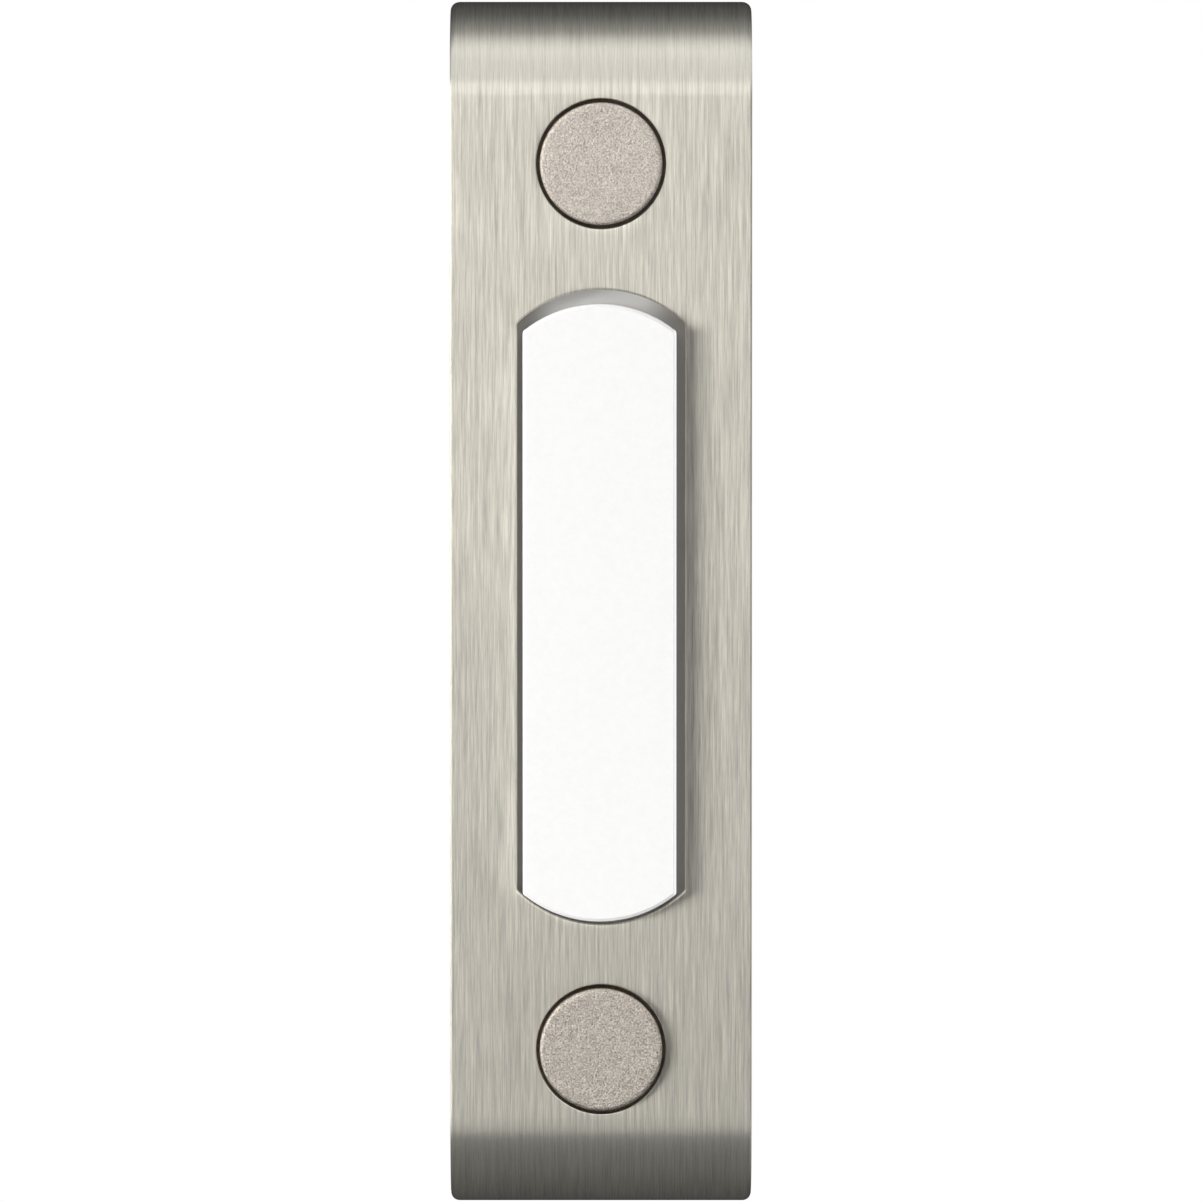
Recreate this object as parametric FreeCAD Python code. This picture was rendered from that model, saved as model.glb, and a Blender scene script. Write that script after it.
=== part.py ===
import FreeCAD, Part
import math
import os

# A wired doorbell push button: a slim brushed metal cover with a lit white push bar.
# Sizes are in millimetres. X runs across the plate and Z up it. Depth is the distance
# in front of the wall, towards the visitor, which is the -Y direction.
# The origin is the middle of the back, on the wall.

# Cover
cover_side_strip = 5.64
cover_wall = 1.6
cover_end_bend = 8.0
cover_edge_break = 0.4

# Window in the cover
window_width = 14.12
window_height = 53.4
window_arch_radius = 10.17
window_corner_round = 0.35
window_edge_break = 0.2

# Push bar, which hangs a little low and to one side in its window
bar_side_gap = 0.61
bar_end_gap = 0.75
bar_drop = 0.45
bar_shift = -0.12
bar_proud = 1.5
bar_wall = 1.3
bar_roof = 1.6
bar_edge_break = 0.25
bar_travel = 1.2
flange_reach = 1.2
flange_thickness = 1.35
flange_stop_gap = 0.05

# Guide pins of the push bar, and the return springs round them
guide_end_distance = 6.45
guide_pin_radius = 1.2
guide_clearance = 0.05
guide_overlap = 2.4
guide_bore_spare = 1.4
guide_pillar_radius = 3.0
guide_chamfer = 0.3
spring_wire = 0.42
spring_outer_radius = 2.2
spring_length = 5.2
spring_turns = 4
spring_steps_per_turn = 10
spring_wire_sides = 5
spring_seat_radius = 2.5
spring_seat_height = 0.7

# Diffuser sheet inside the push bar
diffuser_side_gap = 0.95
diffuser_seat_gap = 2.5
diffuser_thickness = 0.8
diffuser_standoff = 0.5
diffuser_rib = 1.0
diffuser_clip_end = 3.5
clip_side = 1.0
clip_clearance = 0.05
clip_head = 0.4
clip_head_height = 0.3

# Bridging contact on the push bar, and the two fixed contact strips
contact_height = -5.0
bridge_width = 3.2
bridge_thickness = 0.4
bridge_end_gap = 0.6
bridge_clip_offset = 0.95
bridge_clip_side = 0.8
bridge_clip_head = 0.3
contact_gap = 0.05
strip_thickness = 0.5
strip_width = 4.0
strip_flange_gap = 0.74
strip_finger = 2.0
strip_foot = 6.8
strip_bend = 0.2
contact_pad = 1.4
contact_pad_height = 0.2

# Circuit board and what it carries
board_pillar_gap = 0.55
board_thickness = 1.0
board_standoff = 1.6
board_side_gap = 0.4
board_pad = 2.0
tallest_part = 1.6
part_clearance = 0.4
led_screw_distance = 3.7
led_width = 3.5
led_depth = 2.8
led_body = 1.1
led_lens_edge = 0.4
led_lens_rise = 0.3
led_side_gap = 0.6
resistor_length = 3.2
resistor_width = 1.6
resistor_height = 0.55
resistor_cap = 0.5
resistor_cap_lift = 0.05
rectifier_length = 4.7
rectifier_width = 3.8
rectifier_body = 1.1
rectifier_standoff = 0.2
rectifier_edge_break = 0.2
rectifier_leg_width = 0.6
rectifier_leg_pitch = 2.5
rectifier_leg_reach = 0.9
rectifier_leg_thickness = 0.2

# Base moulding with the wire pocket in its back
base_clearance = 0.15
base_floor = 2.0
base_rim = 1.0
base_rim_height = 5.0
base_corner_round = 0.5
base_rib = 0.9
base_rib_height = 4.0
pocket_pillar_gap = 0.7
pocket_depth = 4.6
pocket_roof = 1.2
pocket_wall = 1.35

# Terminals in the wire pocket
terminal_strip_distance = 4.5
terminal_shank_radius = 1.45
terminal_thread_gap = 0.05
terminal_hole_gap = 0.15
terminal_end_gap = 0.4
terminal_head_radius = 2.5
terminal_head_height = 1.5
clamp_side = 5.8
clamp_thickness = 0.7
clamp_lip = 1.1

# Mounting screw holes behind the two round caps
window_web = 5.075
recess_flat = 0.025
mount_hole_radius = 2.1
recess_radius = 5.5
recess_depth = 7.0
recess_edge_break = 0.15
ledge_thickness = 1.5
boss_wall = 1.0
mount_pillar_radius = 4.4

# Screw caps and the rubber rings that hold them
cap_gap = 0.4
cap_proud = 0.8
cap_bevel = 0.3
cap_skirt = 1.6
cap_stem_radius = 4.1
cap_stem_length = 2.3
ring_height = 1.7
ring_fit = 0.02

# Small screws: two hold the base in the cover, two hold the board on the base
base_screw_end_distance = 5.2
base_screw_post_radius = 2.3
base_screw_shank_radius = 1.05
base_screw_head_radius = 2.0
base_screw_head_height = 1.1
base_screw_sunk = 0.1
base_screw_grip = 5.0
board_screw_end_distance = 1.8
board_screw_shank_radius = 0.85
board_screw_head_radius = 1.7
board_screw_head_height = 1.1
board_screw_grip = 2.2
board_screw_boss_side = 3.2
screw_hole_gap = 0.15
screw_thread_gap = 0.05
drive_width = 0.6
drive_depth = 0.6
drive_share = 0.6
pilot_spare = 0.4

# The stack of depths, from the wall to the front of the push bar
roof_front = pocket_depth + pocket_roof
board_back = roof_front + board_standoff
board_front = board_back + board_thickness
lowest_pressed = board_front + tallest_part + part_clearance
contact_top = lowest_pressed - contact_gap
bridge_back = lowest_pressed + bar_travel
flange_back = bridge_back + bridge_thickness
flange_front = flange_back + flange_thickness
cover_inside = flange_front + flange_stop_gap
face_depth = cover_inside + cover_wall
bar_front = face_depth + bar_proud
bar_inside = bar_front - bar_roof
seat_back = bar_inside - spring_seat_height
pillar_top = seat_back - spring_length
ledge_front = face_depth - recess_depth
ledge_back = ledge_front - ledge_thickness

# Widths and places on the front, which the window leads
mount_reach = window_height / 2 + window_web + recess_radius
cover_half_width = window_width / 2 + cover_side_strip
cover_half_height = mount_reach + recess_radius + recess_flat + cover_end_bend
bar_width = window_width - 2 * bar_side_gap
bar_height = window_height - 2 * bar_end_gap
cap_radius = recess_radius - cap_gap

# Widths and places inside. A reach is measured from the middle of the plate
base_half_width = cover_half_width - cover_wall - base_clearance
base_half_height = cover_half_height - cover_wall - base_clearance
base_screw_reach = cover_half_height - base_screw_end_distance
guide_reach = bar_height / 2 - guide_end_distance
guide_bore_radius = guide_pin_radius + guide_clearance
clear_half_height = guide_reach - bar_drop - guide_pillar_radius
pocket_half_width = base_half_width - pocket_wall
pocket_half_height = clear_half_height - pocket_pillar_gap - pocket_wall
strip_outer = window_width / 2 + flange_reach + strip_flange_gap
terminal_reach = strip_outer - terminal_strip_distance
bridge_half_length = strip_outer - bridge_end_gap
bridge_clip_reach = bar_width / 2 - bar_wall + bridge_clip_offset
board_half_width = strip_outer - strip_thickness - board_side_gap
board_half_height = clear_half_height - board_pillar_gap
board_screw_reach = board_half_height - board_screw_end_distance
led_reach = board_screw_reach - led_screw_distance
diffuser_half_width = bar_width / 2 - bar_wall - diffuser_side_gap
diffuser_half_height = guide_reach - spring_seat_radius - diffuser_seat_gap
diffuser_clip_reach = diffuser_half_height - diffuser_clip_end

past = 1.0
visitor = FreeCAD.Vector(0, -1, 0)


def place(x, depth, z):
    """A point given by its distance in front of the wall."""
    return FreeCAD.Vector(x, -depth, z)


def slab(x_from, x_to, depth_from, depth_to, z_from, z_to):
    """A square-edged block."""
    corner = place(x_from, depth_to, z_from)
    return Part.makeBox(x_to - x_from, depth_to - depth_from, z_to - z_from, corner)


def centred_slab(half_x, depth_from, depth_to, half_z, x=0.0, z=0.0):
    """A square-edged block centred on a point of the plate."""
    return slab(x - half_x, x + half_x, depth_from, depth_to, z - half_z, z + half_z)


def disc(radius, depth_from, depth_to, x=0.0, z=0.0):
    """A round bar that stands out from the wall."""
    return Part.makeCylinder(radius, depth_to - depth_from, place(x, depth_from, z), visitor)


def turned(outline, x=0.0, z=0.0):
    """A turned form about a line out of the wall. The outline is a list of radius and depth pairs."""
    corners = [place(x + radius, depth, z) for radius, depth in outline]
    face = Part.Face(Part.makePolygon(corners + corners[:1]))
    return face.revolve(place(x, 0, z), visitor, 360)


def arched_slab(width, height, arch_radius, depth_from, depth_to, x=0.0, z=0.0):
    """A block with straight sides and shallow arches for its two ends."""
    half = width / 2
    crown = height / 2
    corner = crown - arch_radius + math.sqrt(arch_radius ** 2 - half ** 2)
    left_low = place(x - half, depth_from, z - corner)
    left_high = place(x - half, depth_from, z + corner)
    right_high = place(x + half, depth_from, z + corner)
    right_low = place(x + half, depth_from, z - corner)
    sides = [
        Part.LineSegment(left_low, left_high).toShape(),
        Part.Arc(left_high, place(x, depth_from, z + crown), right_high).toShape(),
        Part.LineSegment(right_high, right_low).toShape(),
        Part.Arc(right_low, place(x, depth_from, z - crown), left_low).toShape(),
    ]
    return Part.Face(Part.Wire(sides)).extrude(visitor * (depth_to - depth_from))


def upright_edges(solid):
    """Edges that run straight out of the wall."""
    return [edge for edge in solid.Edges if edge.BoundBox.XLength + edge.BoundBox.ZLength < 0.001]


def edges_at_depth(solid, depth, half_x, half_z, x=0.0, z=0.0):
    """Edges that lie at one depth, inside a box round a point of the plate."""
    chosen = []
    for edge in solid.Edges:
        box = edge.BoundBox
        flat = abs(box.YMin + depth) < 0.001 and abs(box.YMax + depth) < 0.001
        near_x = box.XMin > x - half_x and box.XMax < x + half_x
        near_z = box.ZMin > z - half_z and box.ZMax < z + half_z
        if flat and near_x and near_z:
            chosen.append(edge)
    return chosen


def drive_cross(depth_from, depth_to, arm, x, z):
    """The cross cut in a screw head."""
    upright = centred_slab(drive_width / 2, depth_from, depth_to, arm, x, z)
    level = centred_slab(arm, depth_from, depth_to, drive_width / 2, x, z)
    return upright.fuse(level)


def cover_form(inset, depth_from):
    """A long block whose ends bend back to the wall, made smaller all round by the inset."""
    half = cover_half_height - inset
    front = face_depth - inset
    bend = cover_end_bend - inset
    slant = bend * math.sqrt(0.5)
    side = inset - cover_half_width
    low_turn = place(side, front - bend + slant, -half + bend - slant)
    high_turn = place(side, front - bend + slant, half - bend + slant)
    back_low = place(side, depth_from, -half)
    back_high = place(side, depth_from, half)
    front_low = place(side, front, -half + bend)
    front_high = place(side, front, half - bend)
    profile = [
        Part.LineSegment(back_low, place(side, front - bend, -half)).toShape(),
        Part.Arc(place(side, front - bend, -half), low_turn, front_low).toShape(),
        Part.LineSegment(front_low, front_high).toShape(),
        Part.Arc(front_high, high_turn, place(side, front - bend, half)).toShape(),
        Part.LineSegment(place(side, front - bend, half), back_high).toShape(),
        Part.LineSegment(back_high, back_low).toShape(),
    ]
    return Part.Face(Part.Wire(profile)).extrude(FreeCAD.Vector(-2 * side, 0, 0))


def cover_shell():
    """The bent plate with its broken long edges and its hollow back."""
    form = cover_form(0.0, 0.0)
    long_edges = []
    for edge in form.Edges:
        box = edge.BoundBox
        if box.XLength < 0.001 and box.YMin < -0.001:
            long_edges.append(edge)
    return form.makeChamfer(cover_edge_break, long_edges).cut(cover_form(cover_wall, -past))


def cover_posts():
    """Tubes for the mounting screws and posts for the base screws, cast with the cover."""
    inner = cover_form(cover_wall / 2, 0.0)
    posts = []
    for side in (1, -1):
        z = side * mount_reach
        posts.append(disc(recess_radius + boss_wall, ledge_back, face_depth, 0.0, z).common(inner))
        z = side * base_screw_reach
        posts.append(disc(base_screw_post_radius, base_floor, face_depth, 0.0, z).common(inner))
    return posts


def make_cover():
    """Cast metal cover: plate, window, screw recesses, tubes and posts in one piece."""
    cover = cover_shell().fuse(cover_posts())
    window = arched_slab(
        window_width, window_height, window_arch_radius, cover_inside - past, face_depth + past)
    cuts = [window.makeFillet(window_corner_round, upright_edges(window))]
    for side in (1, -1):
        z = side * mount_reach
        cuts.append(disc(recess_radius, ledge_front, face_depth + past, 0.0, z))
        cuts.append(disc(mount_hole_radius, 0.0, face_depth, 0.0, z))
        z = side * base_screw_reach
        pilot_end = base_floor + base_screw_grip + pilot_spare
        cuts.append(disc(base_screw_shank_radius + screw_thread_gap, 0.0, pilot_end, 0.0, z))
    cover = cover.cut(cuts).removeSplitter()
    reach = window_corner_round
    window_edges = edges_at_depth(
        cover, face_depth, window_width / 2 + reach, window_height / 2 + reach)
    cover = cover.makeChamfer(window_edge_break, window_edges)
    recess_edges = []
    for side in (1, -1):
        reach = recess_radius + recess_edge_break
        recess_edges += edges_at_depth(cover, face_depth, reach, reach, 0.0, side * mount_reach)
    return cover.makeChamfer(recess_edge_break, recess_edges)


def base_tray():
    """Floor and rim of the base."""
    outer = centred_slab(base_half_width, 0.0, base_rim_height, base_half_height)
    outer = outer.makeFillet(base_corner_round, upright_edges(outer))
    inner = centred_slab(
        base_half_width - base_rim, base_floor, base_rim_height + past, base_half_height - base_rim)
    return outer.cut(inner)


def base_ribs():
    """Cross ribs that stiffen the tray beside the mounting pillars."""
    ribs = []
    for side in (1, -1):
        z = side * mount_reach
        half_x = base_half_width - base_rim / 2
        half_z = mount_pillar_radius + base_rib
        ribs.append(centred_slab(half_x, base_rim / 2, base_rib_height, base_rib / 2, 0.0, z))
        ribs.append(centred_slab(base_rib / 2, base_rim / 2, base_rib_height, half_z, 0.0, z))
    return ribs


def base_pillars():
    """Pillars for the mounting screws, the push bar's guide pins and the circuit board."""
    pillars = []
    for side in (1, -1):
        pillars.append(disc(mount_pillar_radius, 0.0, ledge_back, 0.0, side * mount_reach))
        guide_z = side * guide_reach - bar_drop
        pillars.append(disc(guide_pillar_radius, base_rim / 2, pillar_top, bar_shift, guide_z))
        screw_z = side * board_screw_reach
        boss_half = board_screw_boss_side / 2
        pillars.append(centred_slab(boss_half, pocket_depth, board_back, boss_half, 0.0, screw_z))
        for across in (1, -1):
            pad_x = across * (board_half_width - board_pad / 2)
            pad_z = side * (board_half_height - board_pad / 2)
            pillars.append(
                centred_slab(board_pad / 2, pocket_depth, board_back, board_pad / 2, pad_x, pad_z))
    return pillars


def base_holes():
    """Every hole that goes into the base from its front or its back."""
    holes = [centred_slab(pocket_half_width, -past, pocket_depth, pocket_half_height)]
    for side in (1, -1):
        holes.append(disc(mount_hole_radius, -past, ledge_back + past, 0.0, side * mount_reach))
        guide_z = side * guide_reach - bar_drop
        bore_end = pillar_top - guide_overlap - bar_travel - guide_bore_spare
        holes.append(disc(guide_bore_radius, bore_end, pillar_top + past, bar_shift, guide_z))
        pilot = board_screw_shank_radius + screw_thread_gap
        pilot_end = board_front - board_screw_grip - board_thickness - pilot_spare
        holes.append(disc(pilot, pilot_end, board_back + past, 0.0, side * board_screw_reach))
        screw_z = side * base_screw_reach
        holes.append(disc(base_screw_shank_radius + screw_hole_gap, -past, base_floor + past, 0.0, screw_z))
        holes.append(countersink(base_screw_head_radius + screw_hole_gap, 0.0, screw_z))
        holes.append(disc(
            terminal_shank_radius + terminal_hole_gap, 0.0, roof_front + past,
            side * terminal_reach, contact_height))
    return holes


def countersink(mouth_radius, depth_from, z):
    """The conical seat, or the conical head, of a base screw."""
    seat = base_screw_sunk + base_screw_head_height
    neck = mouth_radius - base_screw_head_height
    return turned([
        (0.0, depth_from), (mouth_radius, depth_from), (mouth_radius, base_screw_sunk),
        (neck, seat), (0.0, seat)], 0.0, z)


def make_base():
    """Moulded base: tray, wire pocket, pillars and ribs in one piece."""
    block = centred_slab(base_half_width, 0.0, roof_front, pocket_half_height + pocket_wall)
    body = base_tray().fuse([block] + base_ribs() + base_pillars())
    return body.cut(base_holes()).removeSplitter()


def bar_shell():
    """The push bar's hollow moulding and the flange that stops it behind the cover."""
    x = bar_shift
    z = -bar_drop
    boss = arched_slab(bar_width, bar_height, window_arch_radius, flange_back, bar_front, x, z)
    boss = boss.makeFillet(window_corner_round, upright_edges(boss))
    half_x = bar_width / 2 + bar_edge_break
    half_z = bar_height / 2 + bar_edge_break
    boss = boss.makeChamfer(bar_edge_break, edges_at_depth(boss, bar_front, half_x, half_z, x, z))
    flange = arched_slab(
        window_width + 2 * flange_reach, window_height + 2 * flange_reach,
        window_arch_radius + flange_reach, flange_back, flange_front, x, z)
    flange = flange.makeFillet(window_corner_round + flange_reach / 2, upright_edges(flange))
    hollow = arched_slab(
        bar_width - 2 * bar_wall, bar_height - 2 * bar_wall,
        window_arch_radius - bar_wall, flange_back - past, bar_inside, x, z)
    return boss.fuse(flange).cut(hollow)


def bar_guides():
    """Guide pins with the seats of the return springs at their roots."""
    guides = []
    for side in (1, -1):
        z = side * guide_reach - bar_drop
        end = pillar_top - guide_overlap
        tip = guide_pin_radius - guide_chamfer
        guides.append(turned([
            (0.0, end), (tip, end), (guide_pin_radius, end + guide_chamfer),
            (guide_pin_radius, seat_back), (spring_seat_radius, seat_back),
            (spring_seat_radius, bar_inside + bar_roof / 2), (0.0, bar_inside + bar_roof / 2)],
            bar_shift, z))
    return guides


def snap_clip(x, z, root, seat, width, head):
    """A square post that passes through a sheet and holds it with a barb at each side."""
    post = centred_slab(width / 2, seat - clip_head_height, root, width / 2, x, z)
    barb = centred_slab(width / 2 + head, seat - clip_head_height, seat, width / 2, x, z)
    return post.fuse(barb)


def bar_ribs_and_clips():
    """Ribs and clips for the diffuser, and clips for the bridging contact."""
    pieces = []
    rib_back = bar_inside - diffuser_standoff
    root = bar_inside + bar_roof / 2
    seat = rib_back - diffuser_thickness
    rib_half = (bar_width - bar_wall) / 2
    for side in (1, -1):
        rib_z = side * (diffuser_half_height - diffuser_rib / 2) - bar_drop
        pieces.append(centred_slab(rib_half, rib_back, root, diffuser_rib / 2, bar_shift, rib_z))
        clip_z = side * diffuser_clip_reach - bar_drop
        pieces.append(snap_clip(bar_shift, clip_z, root, seat, clip_side, clip_head))
        pieces.append(snap_clip(
            side * bridge_clip_reach, contact_height,
            flange_back + flange_thickness / 2, bridge_back, bridge_clip_side, bridge_clip_head))
    return pieces


def make_push_bar():
    """Translucent push bar: shell, flange, guide pins, ribs and clips in one moulding."""
    return bar_shell().fuse(bar_guides() + bar_ribs_and_clips()).removeSplitter()


def make_diffuser():
    """Thin sheet inside the push bar that spreads the light."""
    front = bar_inside - diffuser_standoff
    back = front - diffuser_thickness
    sheet = centred_slab(diffuser_half_width, back, front, diffuser_half_height, bar_shift, -bar_drop)
    holes = []
    half_hole = clip_side / 2 + clip_clearance
    for side in (1, -1):
        z = side * diffuser_clip_reach - bar_drop
        holes.append(centred_slab(half_hole, back - past, front + past, half_hole, bar_shift, z))
    return sheet.cut(holes)


def make_contact_bridge():
    """Flat springy strip across the back of the push bar, which joins the two contacts."""
    strip = centred_slab(
        bridge_half_length, bridge_back, flange_back, bridge_width / 2, 0.0, contact_height)
    strip = strip.makeChamfer(bridge_width / 4, upright_edges(strip))
    holes = []
    half_hole = bridge_clip_side / 2 + clip_clearance
    for side in (1, -1):
        x = side * bridge_clip_reach
        holes.append(centred_slab(
            half_hole, bridge_back - past, flange_back + past, half_hole, x, contact_height))
    return strip.cut(holes)


def make_contact_strip(side):
    """Fixed contact: a foot on the terminal screw, an upright, and a finger with a raised pad."""
    outer = strip_outer
    inner = strip_outer - strip_thickness
    finger_front = contact_top - contact_pad_height
    half = strip_width / 2
    foot = slab(outer - strip_foot, outer, roof_front, roof_front + strip_thickness, -half, half)
    upright = slab(inner, outer, roof_front, finger_front, -half, half)
    finger_back = finger_front - strip_thickness
    finger = slab(outer - strip_finger, outer, finger_back, finger_front, -half, half)
    strip = foot.fuse([upright, finger]).removeSplitter()
    bends = []
    for edge in strip.Edges:
        box = edge.BoundBox
        outside = box.XMin > outer - 0.001
        inside = abs(box.XMin - inner) < 0.001 and box.XLength < 0.001
        if box.YLength < 0.001 and (outside or inside):
            bends.append(edge)
    strip = strip.makeFillet(strip_bend, bends)
    pad_x = outer - strip_finger + contact_pad / 2
    strip = strip.fuse(centred_slab(
        contact_pad / 2, finger_front - strip_thickness / 2, contact_top, contact_pad / 2, pad_x, 0.0))
    thread = terminal_shank_radius + terminal_thread_gap
    strip = strip.cut(disc(
        thread, roof_front - past, roof_front + strip_thickness + past, terminal_reach, 0.0))
    if side < 0:
        strip = strip.mirror(FreeCAD.Vector(0, 0, 0), FreeCAD.Vector(1, 0, 0))
    strip.translate(FreeCAD.Vector(0, 0, contact_height))
    return strip.removeSplitter()


def make_wire_clamp(side):
    """Square clamp plate with two lips, which traps the bell wire under the terminal screw."""
    x = side * terminal_reach
    lip_back = pocket_depth - clamp_lip
    plate = centred_slab(
        clamp_side / 2, lip_back - clamp_thickness, lip_back, clamp_side / 2, x, contact_height)
    pieces = []
    for end in (1, -1):
        lip_z = contact_height + end * (clamp_side - clamp_thickness) / 2
        pieces.append(centred_slab(
            clamp_side / 2, lip_back - clamp_thickness / 2, pocket_depth, clamp_thickness / 2, x, lip_z))
    clamp = plate.fuse(pieces)
    hole = terminal_shank_radius + terminal_hole_gap
    return clamp.cut(disc(hole, 0.0, pocket_depth, x, contact_height)).removeSplitter()


def make_terminal_screw(side):
    """Slotted terminal screw whose head faces the wall."""
    x = side * terminal_reach
    seat = pocket_depth - clamp_lip - clamp_thickness
    back = seat - terminal_head_height
    front = board_back - terminal_end_gap
    arm = terminal_head_radius * drive_share
    screw = turned([
        (0.0, back), (terminal_head_radius, back), (terminal_head_radius, seat),
        (terminal_shank_radius, seat), (terminal_shank_radius, front), (0.0, front)],
        x, contact_height)
    return screw.cut(drive_cross(back - past, back + drive_depth, arm, x, contact_height))


def make_circuit_board():
    """Board that carries the lamps, held by two screws."""
    board = centred_slab(board_half_width, board_back, board_front, board_half_height)
    holes = []
    for side in (1, -1):
        hole = board_screw_shank_radius + screw_hole_gap
        holes.append(disc(hole, board_back - past, board_front + past, 0.0, side * board_screw_reach))
    return board.cut(holes)


def make_led(z):
    """Flat lamp: an oblong body with a low lens set in from its edges."""
    body = centred_slab(led_depth / 2, board_front, board_front + led_body, led_width / 2, 0.0, z)
    lens_back = board_front + led_body
    lens = centred_slab(
        led_depth / 2 - led_lens_edge, lens_back, lens_back + led_lens_rise,
        led_width / 2 - led_lens_edge, 0.0, z)
    return body.fuse(lens).removeSplitter()


def make_resistor():
    """Chip resistor beside the middle lamp: a thin block whose two metal ends stand slightly proud."""
    half_length = resistor_length / 2
    half_width = resistor_width / 2
    x = -led_depth / 2 - led_side_gap - half_length
    front = board_front + resistor_height
    lift = resistor_cap_lift
    body = centred_slab(half_length, board_front, front, half_width, x, 0.0)
    ends = []
    for side in (1, -1):
        end_x = x + side * (half_length - resistor_cap / 2)
        ends.append(centred_slab(
            resistor_cap / 2, board_front, front + lift, half_width + lift, end_x, 0.0))
    return body.fuse(ends).removeSplitter()


def make_rectifier():
    """Small rectifier block on four bent legs, beside the middle lamp."""
    back = board_front + rectifier_standoff
    front = back + rectifier_body
    middle = led_depth / 2 + led_side_gap + rectifier_length / 2
    body = centred_slab(rectifier_length / 2, back, front, rectifier_width / 2, middle, 0.0)
    body = body.makeChamfer(rectifier_edge_break, edges_at_depth(
        body, front, rectifier_length, rectifier_width, middle, 0.0))
    half = rectifier_leg_width / 2
    thick = rectifier_leg_thickness
    leg_front = (back + front + thick) / 2
    legs = []
    for side in (1, -1):
        x = middle + side * rectifier_leg_pitch / 2
        for end in (1, -1):
            edge = end * rectifier_width / 2
            knee = edge + end * rectifier_leg_reach / 2
            inner = knee - end * thick
            tip = edge + end * rectifier_leg_reach
            runs = [
                (leg_front - thick, leg_front, edge, knee),
                (board_front, leg_front, inner, knee),
                (board_front, board_front + thick, inner, tip),
            ]
            for depth_from, depth_to, near, far in runs:
                low, high = min(near, far), max(near, far)
                legs.append(slab(x - half, x + half, depth_from, depth_to, low, high))
    return body.fuse(legs).removeSplitter()


def spring_section(angle, rise, z):
    """The wire's outline at one point of the coil, square to the way that the wire runs there."""
    coil_radius = spring_outer_radius - spring_wire / 2
    climb = (spring_length - spring_wire) / (2 * math.pi * spring_turns)
    out = FreeCAD.Vector(math.cos(angle), 0, math.sin(angle))
    along = FreeCAD.Vector(-coil_radius * math.sin(angle), -climb, coil_radius * math.cos(angle))
    across = along.normalize().cross(out)
    centre = place(bar_shift, pillar_top + spring_wire / 2 + rise, z) + out * coil_radius
    corners = []
    for side in range(spring_wire_sides + 1):
        turn = 2 * math.pi * side / spring_wire_sides
        reach = out * math.cos(turn) + across * math.sin(turn)
        corners.append(centre + reach * (spring_wire / 2))
    corners[-1] = corners[0]
    return Part.makePolygon(corners)


def make_return_spring(z):
    """Coil of wire round the guide pin, from the pillar to the push bar's seat."""
    steps = spring_turns * spring_steps_per_turn
    sections = []
    for step in range(steps + 1):
        angle = 2 * math.pi * step / spring_steps_per_turn
        rise = (spring_length - spring_wire) * step / steps
        sections.append(spring_section(angle, rise, z))
    return Part.makeLoft(sections, True, True)


def make_screw_cap(z):
    """Turned metal cap with a bevelled face and a stem for its ring."""
    front = face_depth + cap_proud
    skirt_back = face_depth - cap_skirt
    end = skirt_back - cap_stem_length
    return turned([
        (0.0, end), (cap_stem_radius, end), (cap_stem_radius, skirt_back), (cap_radius, skirt_back),
        (cap_radius, front - cap_bevel), (cap_radius - cap_bevel, front), (0.0, front)], 0.0, z)


def make_cap_ring(z):
    """Rubber ring round the cap's stem, which grips the wall of the recess."""
    front = face_depth - cap_skirt
    outer = disc(recess_radius - ring_fit, front - ring_height, front, 0.0, z)
    return outer.cut(disc(cap_stem_radius + ring_fit, front - ring_height - past, front + past, 0.0, z))


def make_base_screw(z):
    """Countersunk screw that holds the base in the cover."""
    seat = base_screw_sunk + base_screw_head_height
    head = countersink(base_screw_head_radius, base_screw_sunk, z)
    end = base_floor + base_screw_grip
    arm = base_screw_head_radius * drive_share
    shank = disc(base_screw_shank_radius, seat - base_screw_head_height / 2, end, 0.0, z)
    cross = drive_cross(base_screw_sunk - past, base_screw_sunk + drive_depth, arm, 0.0, z)
    return head.fuse(shank).cut(cross).removeSplitter()


def make_board_screw(z):
    """Pan-headed screw that holds the circuit board."""
    front = board_front + board_screw_head_height
    end = board_back - board_screw_grip
    arm = board_screw_head_radius * drive_share
    screw = turned([
        (0.0, end), (board_screw_shank_radius, end), (board_screw_shank_radius, board_front),
        (board_screw_head_radius, board_front), (board_screw_head_radius, front), (0.0, front)], 0.0, z)
    return screw.cut(drive_cross(front - drive_depth, front + past, arm, 0.0, z))


def make_parts():
    """All the pieces by name, in the order in which they are put together."""
    parts = {
        "cover": make_cover(),
        "base": make_base(),
        "push_bar": make_push_bar(),
        "diffuser": make_diffuser(),
        "contact_bridge": make_contact_bridge(),
        "circuit_board": make_circuit_board(),
        "resistor": make_resistor(),
        "rectifier": make_rectifier(),
        "led_top": make_led(led_reach),
        "led_middle": make_led(0.0),
        "led_bottom": make_led(-led_reach),
    }
    for name, side in (("left", -1), ("right", 1)):
        parts["contact_strip_" + name] = make_contact_strip(side)
        parts["wire_clamp_" + name] = make_wire_clamp(side)
        parts["terminal_screw_" + name] = make_terminal_screw(side)
    for name, side in (("top", 1), ("bottom", -1)):
        parts["return_spring_" + name] = make_return_spring(side * guide_reach - bar_drop)
        parts["screw_cap_" + name] = make_screw_cap(side * mount_reach)
        parts["cap_ring_" + name] = make_cap_ring(side * mount_reach)
        parts["base_screw_" + name] = make_base_screw(side * base_screw_reach)
        parts["board_screw_" + name] = make_board_screw(side * board_screw_reach)
    return parts


os.makedirs("parts", exist_ok=True)
for name, shape in make_parts().items():
    shape.exportStep("parts/" + name + ".step")
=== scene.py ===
import math

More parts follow.
